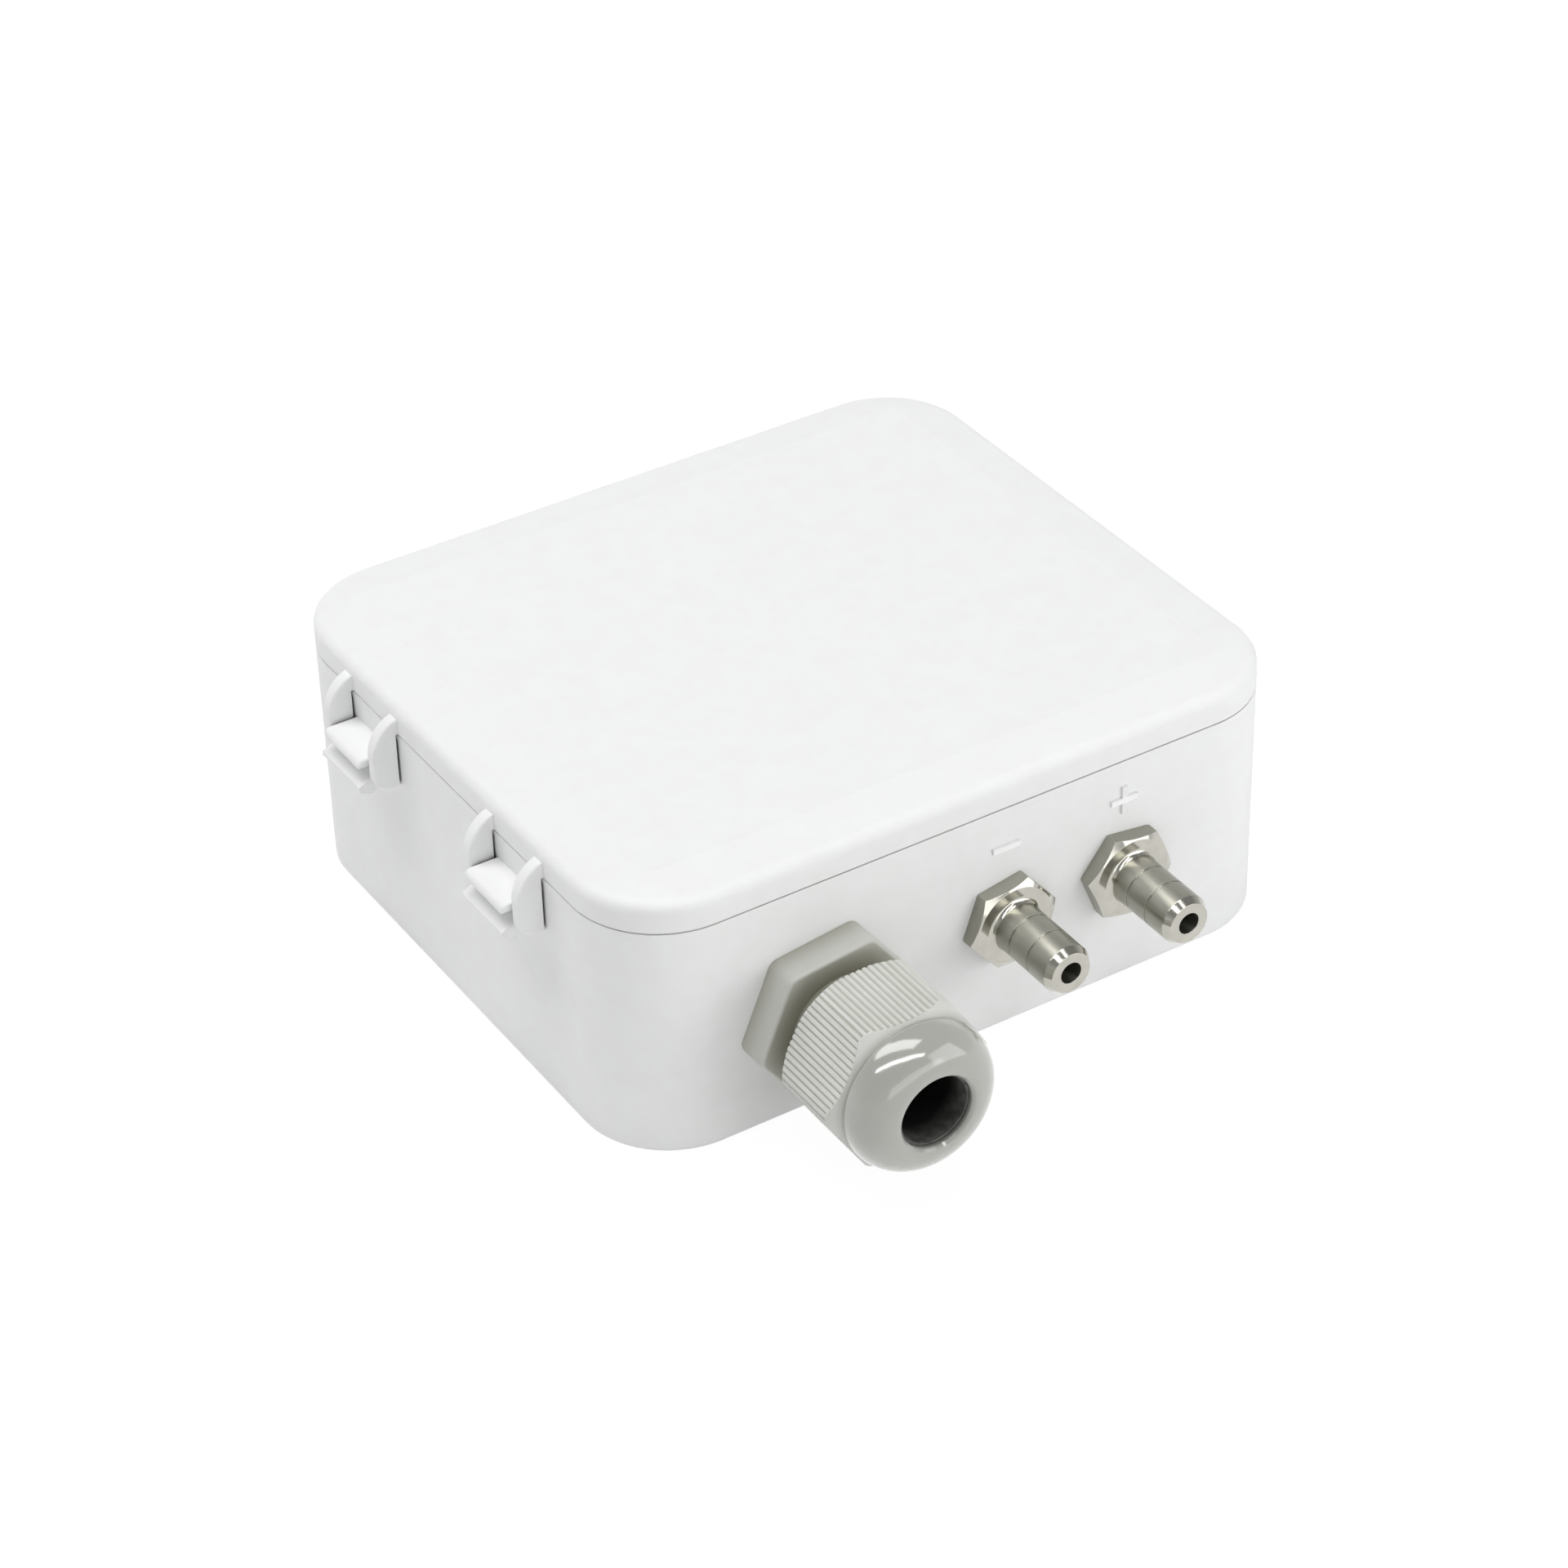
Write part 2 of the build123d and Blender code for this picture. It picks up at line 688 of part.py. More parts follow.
def pressure_port(x, turn):
    """A turned hose port: hexagon, barrel with two grooves, threaded tail and inner nipple."""
    nipple_radius = hose_bore - nipple_clearance
    tail_end = -(port_thread_length + hose_overlap)
    hex_reach = port_hex / 2 + port_hex_corner
    root_bow = (1 - math.sqrt(0.5)) * port_root_radius
    with BuildPart() as port:
        with BuildSketch(wall_plane(x, port_z)):
            RegularPolygon(port_hex / 2, 6, major_radius=False, rotation=turn)
        extrude(amount=port_hex_thickness)
        with BuildSketch(turned_plane(x, port_z)):
            with BuildLine():
                Polyline(
                    (0, 0),
                    (hex_reach - port_hex_edge, 0),
                    (hex_reach, port_hex_edge),
                    (hex_reach, port_hex_thickness - port_hex_chamfer),
                    (port_hex / 2 - port_hex_edge, port_hex_thickness),
                    (0, port_hex_thickness),
                    close=True,
                )
            make_face()
        revolve(axis=wall_axis(x, port_z), mode=Mode.INTERSECT)
        with BuildSketch(turned_plane(x, port_z)):
            with BuildLine():
                Polyline(
                    (0, tail_end),
                    (nipple_radius - nipple_edge, tail_end),
                    (nipple_radius, tail_end + nipple_edge),
                    (nipple_radius, -port_thread_length),
                    (port_thread_radius, -port_thread_length),
                    (port_thread_radius, port_hex_thickness / 2),
                    (port_barrel_radius + port_root_radius, port_hex_thickness / 2),
                    (port_barrel_radius + port_root_radius, port_hex_thickness),
                )
                ThreePointArc(
                    (port_barrel_radius + port_root_radius, port_hex_thickness),
                    (port_barrel_radius + root_bow, port_hex_thickness + root_bow),
                    (port_barrel_radius, port_hex_thickness + port_root_radius),
                )
                Polyline(
                    (port_barrel_radius, port_hex_thickness + port_root_radius),
                    (port_barrel_radius, port_reach - port_tip_length),
                    (port_tip_radius, port_reach),
                    (0, port_reach),
                    (0, tail_end),
                )
            make_face()
        revolve(axis=wall_axis(x, port_z))
        with BuildSketch(turned_plane(x, port_z)):
            for groove in port_grooves:
                with Locations((port_barrel_radius, groove)):
                    Rectangle(2 * groove_depth, groove_width)
        revolve(axis=wall_axis(x, port_z), mode=Mode.SUBTRACT)
        with BuildSketch(wall_plane(x, port_z, port_reach)):
            Circle(port_bore_radius)
        extrude(amount=tail_end - port_reach, mode=Mode.SUBTRACT)
    return port


# Pressure ports, the low side first
port_minus = pressure_port(port_places[0], port_turns[0])
port_minus.part.label = "port_minus"
export_step(port_minus.part, "parts/port_minus.step")

port_plus = pressure_port(port_places[1], port_turns[1])
port_plus.part.label = "port_plus"
export_step(port_plus.part, "parts/port_plus.step")


# Port washers and lock nuts, inside the port wall
with BuildPart() as port_washers:
    for port_x in port_places:
        with BuildSketch(wall_plane(port_x, port_z, -wall)):
            Circle(port_washer_radius)
            Circle(port_thread_radius + thread_clearance, mode=Mode.SUBTRACT)
        extrude(amount=-port_washer_thickness)

port_washers.part.label = "port_washers"
export_step(port_washers.part, "parts/port_washers.step")

with BuildPart() as port_lock_nuts:
    for port_x in port_places:
        with BuildSketch(wall_plane(port_x, port_z, -wall - port_washer_thickness)):
            RegularPolygon(port_hex / 2, 6, major_radius=False, rotation=30)
            Circle(port_thread_radius + thread_clearance, mode=Mode.SUBTRACT)
        extrude(amount=-port_nut_thickness)

port_lock_nuts.part.label = "port_lock_nuts"
export_step(port_lock_nuts.part, "parts/port_lock_nuts.step")


def inner_hose(port_x, nipple_x):
    """A silicone hose from a port's nipple to a nipple of the sensor cell."""
    start_y = port_wall_y + port_thread_length + hose_end_gap
    port_end_y = port_wall_y + port_thread_length + hose_overlap
    cell_end_y = cell_front_y - nipple_length
    end_y = cell_front_y - hose_end_gap
    with BuildPart() as hose:
        with BuildLine() as route:
            FilletPolyline(
                (port_x, start_y, port_z),
                (port_x, port_end_y + hose_lead, port_z),
                (nipple_x, cell_end_y - hose_lead, nipple_z),
                (nipple_x, end_y, nipple_z),
                radius=hose_bend,
            )
        with BuildSketch(Plane(origin=(port_x, start_y, port_z), x_dir=(1, 0, 0), z_dir=(0, 1, 0))):
            Circle(hose_bore + hose_wall)
            Circle(hose_bore, mode=Mode.SUBTRACT)
        sweep(path=route.wires()[0])
    return hose


# Hoses inside the case
hose_minus = inner_hose(port_places[0], port_middle_x - nipple_spacing / 2)
hose_minus.part.label = "hose_minus"
export_step(hose_minus.part, "parts/hose_minus.step")

hose_plus = inner_hose(port_places[1], port_middle_x + nipple_spacing / 2)
hose_plus.part.label = "hose_plus"
export_step(hose_plus.part, "parts/hose_plus.step")


# Circuit board
with BuildPart() as circuit_board:
    with BuildSketch(Plane.XY.offset(board_z)):
        with Locations((0, board_y)):
            RectangleRounded(board_width, board_depth, board_corner)
            with GridLocations(board_screw_x, board_screw_y, 2, 2):
                Circle(board_screw_radius + board_hole_clearance, mode=Mode.SUBTRACT)
    extrude(amount=board_thickness)

circuit_board.part.label = "circuit_board"
export_step(circuit_board.part, "parts/circuit_board.step")


# Screws that hold the circuit board
with BuildPart() as board_screws:
    slot_length, slot_width, slot_depth = board_screw_slot
    with BuildSketch(Plane.XY.offset(board_top)):
        with Locations((0, board_y)):
            with GridLocations(board_screw_x, board_screw_y, 2, 2):
                Circle(board_screw_head)
    extrude(amount=board_screw_head_height)
    fillet(board_screws.edges().group_by(Axis.Z)[-1], radius=board_screw_head_edge)
    with BuildSketch(Plane.XY.offset(board_top - board_screw_length)):
        with Locations((0, board_y)):
            with GridLocations(board_screw_x, board_screw_y, 2, 2):
                Circle(board_screw_radius)
    extrude(amount=board_screw_length)
    with BuildSketch(Plane.XY.offset(board_top + board_screw_head_height)):
        with Locations((0, board_y)):
            with GridLocations(board_screw_x, board_screw_y, 2, 2):
                Rectangle(slot_length, slot_width)
                Rectangle(slot_width, slot_length)
    extrude(amount=-slot_depth, mode=Mode.SUBTRACT)

board_screws.part.label = "board_screws"
export_step(board_screws.part, "parts/board_screws.step")


# Sensor cell with its two nipples
with BuildPart() as sensor_cell:
    with BuildSketch(Plane.XY.offset(board_top)):
        with Locations((port_middle_x, cell_front_y + cell_depth / 2)):
            Rectangle(cell_width, cell_depth)
    extrude(amount=cell_height)
    chamfer(sensor_cell.edges().group_by(Axis.Z)[-1], length=cell_bevel)
    nipple_radius = hose_bore - nipple_clearance
    nipple_places = [port_middle_x - nipple_spacing / 2, port_middle_x + nipple_spacing / 2]
    for nipple_x in nipple_places:
        nipple_root = Plane(origin=(nipple_x, cell_front_y, nipple_z), x_dir=(1, 0, 0), z_dir=(0, -1, 0))
        with BuildSketch(nipple_root.offset(-cell_bevel)):
            Circle(nipple_radius)
        extrude(amount=nipple_length + cell_bevel)
        with BuildSketch(nipple_root.offset(nipple_length)):
            Circle(nipple_radius / 2)
        extrude(amount=-nipple_length, mode=Mode.SUBTRACT)

sensor_cell.part.label = "sensor_cell"
export_step(sensor_cell.part, "parts/sensor_cell.step")


# Terminal block
terminal_offsets = [(way - (terminal_ways - 1) / 2) * terminal_pitch for way in range(terminal_ways)]
terminal_top = board_top + terminal_height
with BuildPart() as terminal_block:
    with BuildSketch(Plane.XY.offset(board_top)):
        with Locations((terminal_x, terminal_y)):
            Rectangle(terminal_ways * terminal_pitch, terminal_depth)
    extrude(amount=terminal_height)
    chamfer(terminal_block.edges().group_by(Axis.Z)[-1].sort_by(Axis.Y)[0], length=terminal_edge)
    for offset in terminal_offsets:
        mouth_z = board_top + terminal_mouth_height
        mouth_place = (terminal_x + offset, terminal_y - terminal_depth / 2, mouth_z)
        with BuildSketch(Plane(origin=mouth_place, x_dir=(1, 0, 0), z_dir=(0, -1, 0))):
            Rectangle(terminal_mouth, terminal_mouth)
        extrude(amount=-terminal_mouth_depth, mode=Mode.SUBTRACT)
    with Locations((terminal_x, terminal_y, terminal_top)):
        with GridLocations(terminal_pitch, 1, terminal_ways, 1):
            Hole(terminal_screw_radius + 0.1, depth=terminal_screw_sink + terminal_screw_height)

terminal_block.part.label = "terminal_block"
export_step(terminal_block.part, "parts/terminal_block.step")


# Terminal screws
with BuildPart() as terminal_screws:
    screw_foot = terminal_top - terminal_screw_sink - terminal_screw_height
    with BuildSketch(Plane.XY.offset(screw_foot)):
        with Locations((terminal_x, terminal_y)):
            with GridLocations(terminal_pitch, 1, terminal_ways, 1):
                Circle(terminal_screw_radius)
    extrude(amount=terminal_screw_height)
    with BuildSketch(Plane.XY.offset(terminal_top - terminal_screw_sink)):
        with Locations((terminal_x, terminal_y)):
            with GridLocations(terminal_pitch, 1, terminal_ways, 1):
                Rectangle(2 * (terminal_screw_radius + terminal_slot_overrun), terminal_slot_width)
    extrude(amount=-terminal_slot_depth, mode=Mode.SUBTRACT)

terminal_screws.part.label = "terminal_screws"
export_step(terminal_screws.part, "parts/terminal_screws.step")


# Zero switch and its button
switch_top = board_top + switch_height
with BuildPart() as zero_switch:
    with BuildSketch(Plane.XY.offset(board_top)):
        with Locations((switch_x, switch_y)):
            Rectangle(switch_side, switch_side)
    extrude(amount=switch_height)
    chamfer(zero_switch.edges().filter_by(Axis.Z), length=switch_corner)
    with Locations((switch_x, switch_y, switch_top)):
        Hole(button_radius + button_clearance, depth=button_depth + button_travel + 0.2)

zero_switch.part.label = "zero_switch"
export_step(zero_switch.part, "parts/zero_switch.step")

with BuildPart() as zero_button:
    with BuildSketch(Plane.XY.offset(switch_top - button_depth)):
        with Locations((switch_x, switch_y)):
            Circle(button_radius)
    extrude(amount=button_depth + button_height)
    fillet(zero_button.edges().group_by(Axis.Z)[-1], radius=0.3)

zero_button.part.label = "zero_button"
export_step(zero_button.part, "parts/zero_button.step")


# Service header
header_rows = 2
with BuildPart() as service_header:
    with BuildSketch(Plane.XY.offset(board_top)):
        with Locations((header_x, header_y)):
            Rectangle(header_columns * header_pitch, header_rows * header_pitch)
    extrude(amount=header_height)
    with BuildSketch(Plane.XY.offset(board_top + header_height)):
        with Locations((header_x, header_y)):
            with GridLocations(header_pitch, header_pitch, header_columns, header_rows):
                Rectangle(pin_side, pin_side)
    extrude(amount=pin_height - header_height)

service_header.part.label = "service_header"
export_step(service_header.part, "parts/service_header.step")


# Controller chip with its leads
with BuildPart() as controller_chip:
    with BuildSketch(Plane.XY.offset(board_top + chip_standoff)):
        with Locations((chip_x, chip_y)):
            Rectangle(chip_side, chip_side)
    extrude(amount=chip_height)
    chamfer(controller_chip.edges().group_by(Axis.Z)[-1], length=chip_bevel)
    with BuildSketch(Plane.XY.offset(board_top)):
        with Locations((chip_x, chip_y)):
            with GridLocations(lead_pitch, lead_pitch, lead_count, 1):
                Rectangle(lead_width, chip_side + 2 * lead_reach)
            with GridLocations(lead_pitch, lead_pitch, 1, lead_count):
                Rectangle(chip_side + 2 * lead_reach, lead_width)
    extrude(amount=lead_height)

controller_chip.part.label = "controller_chip"
export_step(controller_chip.part, "parts/controller_chip.step")


# Capacitor
with BuildPart() as capacitor:
    with BuildSketch(Plane.XY.offset(board_top)):
        with Locations((capacitor_x, capacitor_y)):
            Circle(capacitor_radius)
    extrude(amount=capacitor_height)
    fillet(capacitor.edges().group_by(Axis.Z)[-1], radius=0.5)

capacitor.part.label = "capacitor"
export_step(capacitor.part, "parts/capacitor.step")


# Status lamp
with BuildPart() as status_lamp:
    with BuildSketch(Plane.XY.offset(board_top)):
        with Locations((lamp_x, lamp_y)):
            Circle(lamp_radius + lamp_rim)
    extrude(amount=lamp_rim_height)
    with BuildSketch(Plane.XY.offset(board_top + lamp_rim_height)):
        with Locations((lamp_x, lamp_y)):
            Circle(lamp_radius)
    extrude(amount=lamp_height - lamp_rim_height)
    fillet(status_lamp.edges().group_by(Axis.Z)[-1], radius=lamp_radius - 0.1)

status_lamp.part.label = "status_lamp"
export_step(status_lamp.part, "parts/status_lamp.step")


def board_chips(places, long, wide, high):
    """Like packages soldered on the board, each with its long side along X."""
    with BuildPart() as chips:
        for place in places:
            with BuildSketch(Plane.XY.offset(board_top)):
                with Locations(place):
                    Rectangle(long, wide)
            extrude(amount=high)
        chamfer(chips.edges().group_by(Axis.Z)[-1], length=chip_edge)
    return chips


# Amplifiers, output diode and resistors on the board
amplifiers = board_chips(amplifier_places, *amplifier_size)
amplifiers.part.label = "amplifiers"
export_step(amplifiers.part, "parts/amplifiers.step")

output_diode = board_chips([(capacitor_x, diode_y)], *diode_size)
output_diode.part.label = "output_diode"
export_step(output_diode.part, "parts/output_diode.step")

resistors = board_chips(resistor_places, *resistor_size)
resistors.part.label = "resistors"
export_step(resistors.part, "parts/resistors.step")
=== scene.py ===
import math

import bpy
from mathutils import Matrix, Vector


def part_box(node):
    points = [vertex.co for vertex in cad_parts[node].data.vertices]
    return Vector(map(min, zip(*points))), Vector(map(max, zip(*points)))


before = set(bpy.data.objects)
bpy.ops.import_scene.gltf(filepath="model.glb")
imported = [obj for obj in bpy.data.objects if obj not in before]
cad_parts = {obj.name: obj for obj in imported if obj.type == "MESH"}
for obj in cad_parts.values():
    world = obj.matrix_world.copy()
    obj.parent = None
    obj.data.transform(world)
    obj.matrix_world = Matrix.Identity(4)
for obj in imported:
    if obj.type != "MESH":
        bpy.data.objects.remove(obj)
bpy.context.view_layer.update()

MM = 0.001

# The photograph's viewpoint, found by fitting the case's edges. Angles in degrees, lengths in metres.
VIEW_AZIMUTH = -31.54
VIEW_ELEVATION = 35.31
VIEW_ROLL = -1.583
VIEW_DISTANCE = 0.6113
VIEW_AIM = Vector((-0.00314, -0.00504, 0.01821))
LENS_MM = 101.77
SENSOR_MM = 36.0

# Studio: the sky's strength by height (the sine of the elevation), and the floor's paper, whose glow
# is seen by the camera and in reflections. The floor lies just under the back face.
SKY_AT_HORIZON = 0.78
SKY_ABOVE = 0.3
SKY_FADE_HEIGHT = 0.6
FLOOR_HALF = 3.0
FLOOR_DROP = 0.1 * MM
FLOOR_PAPER = "#F0F0F0"
FLOOR_GLOW_STRENGTH = 1.06
FLOOR_GLOW_SHARE = 0.9

# Sizes and places on the case that the finishes need, as in the CAD model
PORT_WALL_Y = -46.65 * MM
SIGN_Z = 29.3 * MM
SIGN_HALF_WIDTH = 0.45 * MM
DOME_LENGTH = 5.7 * MM
HEADER_STRIP_HEIGHT = 2.5 * MM
LEAD_HEIGHT = 0.31 * MM

gland_low, gland_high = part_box("gland_nut")
dome_start = gland_low.y + DOME_LENGTH
rim_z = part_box("base_shell")[1].z
lead_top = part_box("circuit_board")[1].z + LEAD_HEIGHT
pins_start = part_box("service_header")[0].z + HEADER_STRIP_HEIGHT
can_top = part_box("capacitor")[1].z


def linear(hex_colour):
    """An sRGB hex colour as the linear colour that a shader socket takes."""
    parts = [int(hex_colour[i:i + 2], 16) / 255 for i in (1, 3, 5)]
    return tuple(c / 12.92 if c <= 0.04045 else ((c + 0.055) / 1.055) ** 2.4 for c in parts) + (1.0,)


def per(size_mm):
    """The texture scale at which one cell of a pattern is size_mm wide."""
    return 1.0 / (size_mm * MM)


def feed(tree, node, inputs):
    """Sets a node's inputs, each to a value or to the socket that is linked to it."""
    for name, value in inputs.items():
        if isinstance(value, bpy.types.NodeSocket):
            tree.links.new(value, node.inputs[name])
        else:
            node.inputs[name].default_value = value


def add(tree, kind, inputs, output=0, **settings):
    """Adds a node with its settings and inputs, and gives the output that the next node takes."""
    made = tree.nodes.new("ShaderNode" + kind)
    for name, value in settings.items():
        setattr(made, name, value)
    feed(tree, made, inputs)
    return made.outputs[output] if made.outputs else None


def start_material(name, **values):
    """A material with its shader, its tree and the object's own coordinates in metres."""
    material = bpy.data.materials.new(name)
    material.use_nodes = True
    tree = material.node_tree
    shader = tree.nodes["Principled BSDF"]
    feed(tree, shader, {socket.replace("_", " "): value for socket, value in values.items()})
    place = add(tree, "TexCoord", {}, "Object")
    return material, tree, shader, place


def moulded_abs():
    """Injection-moulded ABS from a finely eroded mould: an even off-white with a dull, broad sheen."""
    material, tree, shader, place = start_material("moulded_abs", IOR=1.53)
    along = add(tree, "SeparateXYZ", {"Vector": place}, "Y")
    height = add(tree, "SeparateXYZ", {"Vector": place}, "Z")
    cloud = add(tree, "TexNoise", {"Vector": place, "Scale": per(3.0), "Detail": 4.0})
    tint = add(tree, "MapRange", {"Value": cloud, "From Min": 0.35, "From Max": 0.65})
    plain = add(tree, "Mix", {0: tint, 6: linear("#F1F2F2"), 7: linear("#F0F0F0")}, 2, data_type="RGBA")

    # painted highlight: the raised signs' level bars are painted white where they would catch the light, and
    # they lean up a little
    before_wall = add(tree, "MapRange", {"Value": along, "From Min": PORT_WALL_Y - 0.25 * MM,
                                         "From Max": PORT_WALL_Y - 0.1 * MM, "To Min": 1.0, "To Max": 0.0})
    level_bar = add(tree, "Math", {0: height, 1: SIGN_Z, 2: SIGN_HALF_WIDTH}, operation="COMPARE")
    painted_highlight_bar = add(tree, "Math", {0: before_wall, 1: level_bar}, operation="MULTIPLY")
    skin = add(tree, "Mix", {0: painted_highlight_bar, 6: plain, 7: linear("#FFFFFF")}, 2, data_type="RGBA")

    # painted shade: narrow, enclosed places below the seam, such as behind the latch fins, are painted dark
    open_air = add(tree, "AmbientOcclusion", {"Distance": 1.2 * MM}, "AO", samples=8)
    narrow = add(tree, "MapRange", {"Value": open_air, "From Min": 0.05, "From Max": 0.35,
                                    "To Min": 1.0, "To Max": 0.0})
    below_seam = add(tree, "MapRange", {"Value": height, "From Min": rim_z - 1.2 * MM,
                                        "From Max": rim_z - 0.4 * MM, "To Min": 1.0, "To Max": 0.0})
    fin_gap_shade = add(tree, "Math", {0: narrow, 1: below_seam}, operation="MULTIPLY")
    colour = add(tree, "Mix", {0: fin_gap_shade, 6: skin, 7: linear("#1C1C1D")}, 2, data_type="RGBA")

    patches = add(tree, "TexNoise", {"Vector": place, "Scale": per(7.0), "Detail": 3.0})
    sheen = add(tree, "MapRange", {"Value": patches, "From Min": 0.3, "From Max": 0.7,
                                   "To Min": 0.52, "To Max": 0.62})
    grain = add(tree, "TexNoise", {"Vector": place, "Scale": per(0.45), "Detail": 4.0})
    soft_edge = add(tree, "Bevel", {"Radius": 0.2 * MM}, samples=6)
    grained = add(tree, "Bump", {"Height": grain, "Distance": 0.010 * MM, "Strength": 0.5,
                                 "Normal": soft_edge})
    slope = add(tree, "MapRange", {"Value": height, "From Min": SIGN_Z - SIGN_HALF_WIDTH,
                                   "From Max": SIGN_Z + SIGN_HALF_WIDTH, "To Min": 1.0, "To Max": 0.0})
    leaning = add(tree, "Bump", {"Height": slope, "Distance": 0.3 * MM, "Strength": painted_highlight_bar,
                                 "Normal": grained})
    feed(tree, shader, {"Base Color": colour, "Roughness": sheen, "Normal": leaning})
    return material


def moulded_polyamide():
    """Moulded polyamide: a yellowish grey, satin and lighter on the ribs, wet-looking on the dome."""
    material, tree, shader, place = start_material("moulded_polyamide", IOR=1.53, Coat_Roughness=0.08)
    along = add(tree, "SeparateXYZ", {"Vector": place}, "Y")
    polished = add(tree, "MapRange", {"Value": along, "From Min": dome_start - 0.4 * MM,
                                      "From Max": dome_start + 0.8 * MM, "To Min": 1.0, "To Max": 0.0})
    flange = add(tree, "MapRange", {"Value": along, "From Min": gland_high.y - 0.1 * MM,
                                    "From Max": gland_high.y + 0.1 * MM})
    unribbed = add(tree, "Math", {0: polished, 1: flange}, operation="MAXIMUM")
    cloud = add(tree, "TexNoise", {"Vector": place, "Scale": per(6.0), "Detail": 3.0})
    tint = add(tree, "MapRange", {"Value": cloud, "From Min": 0.35, "From Max": 0.65})
    ribs = add(tree, "Mix", {0: tint, 6: linear("#D5D6D1"), 7: linear("#D0D1CB")}, 2, data_type="RGBA")
    smooth = add(tree, "Mix", {0: flange, 6: linear("#A9AAA3"), 7: linear("#C5C6BF")}, 2, data_type="RGBA")
    skin = add(tree, "Mix", {0: unribbed, 6: ribs, 7: smooth}, 2, data_type="RGBA")

    # painted shade: the enclosed space between flange and nut is painted a darker, yellower grey
    open_air = add(tree, "AmbientOcclusion", {"Distance": 5.0 * MM}, "AO", samples=8)
    flange_nut_shade = add(tree, "MapRange", {"Value": open_air, "From Min": 0.25, "From Max": 0.85,
                                  "To Min": 1.0, "To Max": 0.0})
    colour = add(tree, "Mix", {0: flange_nut_shade, 6: skin, 7: linear("#9A9887")}, 2, data_type="RGBA")

    grain = add(tree, "TexNoise", {"Vector": place, "Scale": per(0.35), "Detail": 4.0})
    satin = add(tree, "MapRange", {"Value": grain, "From Min": 0.3, "From Max": 0.7,
                                   "To Min": 0.42, "To Max": 0.52})
    rough = add(tree, "Mix", {0: polished, 2: satin, 3: 0.10}, data_type="FLOAT")
    rounding = add(tree, "MapRange", {"Value": polished, "To Min": 0.15 * MM, "To Max": 0.7 * MM})
    soft_edge = add(tree, "Bevel", {"Radius": rounding}, samples=6)
    grained = add(tree, "Bump", {"Height": grain, "Distance": 0.008 * MM, "Strength": 0.5,
                                 "Normal": soft_edge})
    feed(tree, shader, {"Base Color": colour, "Roughness": rough, "Coat Weight": polished,
                        "Normal": grained})
    return material


def nickel_plate():
    """Nickel plate on turned brass: bright end faces, and rougher sides with turning marks round the axis,
    which are painted darker as a painted reflection.
    """
    material, tree, shader, place = start_material("nickel_plate", Metallic=1.0, Anisotropic=0.75,
                                                   Anisotropic_Rotation=0.25)
    round_axis = add(tree, "Tangent", {}, direction_type="RADIAL", axis="Y")
    normal = add(tree, "TexCoord", {}, "Normal")
    facing = add(tree, "SeparateXYZ", {"Vector": normal}, "Y")
    side = add(tree, "MapRange", {"Value": facing, "From Min": -0.5, "From Max": -0.1})
    cloud = add(tree, "TexNoise", {"Vector": place, "Scale": per(2.5), "Detail": 3.0})
    tint = add(tree, "MapRange", {"Value": cloud, "From Min": 0.3, "From Max": 0.7})
    face = add(tree, "Mix", {0: tint, 6: linear("#C6C4BB"), 7: linear("#BBB9B0")}, 2, data_type="RGBA")
    # painted reflection: faces that turn sideways are painted darker than the end faces
    colour = add(tree, "Mix", {0: side, 6: face, 7: linear("#A2A197")}, 2, data_type="RGBA")

    # turning marks run round the axis, so they change along it alone: the tool's feed was about 0.16 mm
    along = add(tree, "SeparateXYZ", {"Vector": place}, "Y")
    row = add(tree, "CombineXYZ", {"X": along})
    turned = add(tree, "TexNoise", {"Vector": row, "Scale": per(0.16), "Detail": 5.0})
    marks = add(tree, "MapRange", {"Value": turned, "From Min": 0.3, "From Max": 0.7,
                                   "To Min": -0.03, "To Max": 0.03})
    level = add(tree, "MapRange", {"Value": side, "To Min": 0.11, "To Max": 0.30})
    rough = add(tree, "Math", {0: marks, 1: level}, operation="ADD")
    soft_edge = add(tree, "Bevel", {"Radius": 0.12 * MM}, samples=6)
    grooved = add(tree, "Bump", {"Height": turned, "Distance": 0.004 * MM, "Strength": 0.6,
                                 "Normal": soft_edge})
    feed(tree, shader, {"Base Color": colour, "Roughness": rough, "Tangent": round_axis,
                        "Normal": grooved})
    return material


def matt_rubber(name, first, second):
    """Moulded or sheet rubber: dull, with a faint bloom."""
    material, tree, shader, place = start_material(name, IOR=1.52)
    cloud = add(tree, "TexNoise", {"Vector": place, "Scale": per(1.4), "Detail": 3.0})
    bloom = add(tree, "MapRange", {"Value": cloud, "From Min": 0.35, "From Max": 0.7})
    colour = add(tree, "Mix", {0: bloom, 6: linear(first), 7: linear(second)}, 2, data_type="RGBA")
    rough = add(tree, "MapRange", {"Value": bloom, "To Min": 0.62, "To Max": 0.78})
    pores = add(tree, "TexNoise", {"Vector": place, "Scale": per(0.25), "Detail": 3.0})
    porous = add(tree, "Bump", {"Height": pores, "Distance": 0.01 * MM, "Strength": 0.6})
    feed(tree, shader, {"Base Color": colour, "Roughness": rough, "Normal": porous})
    return material


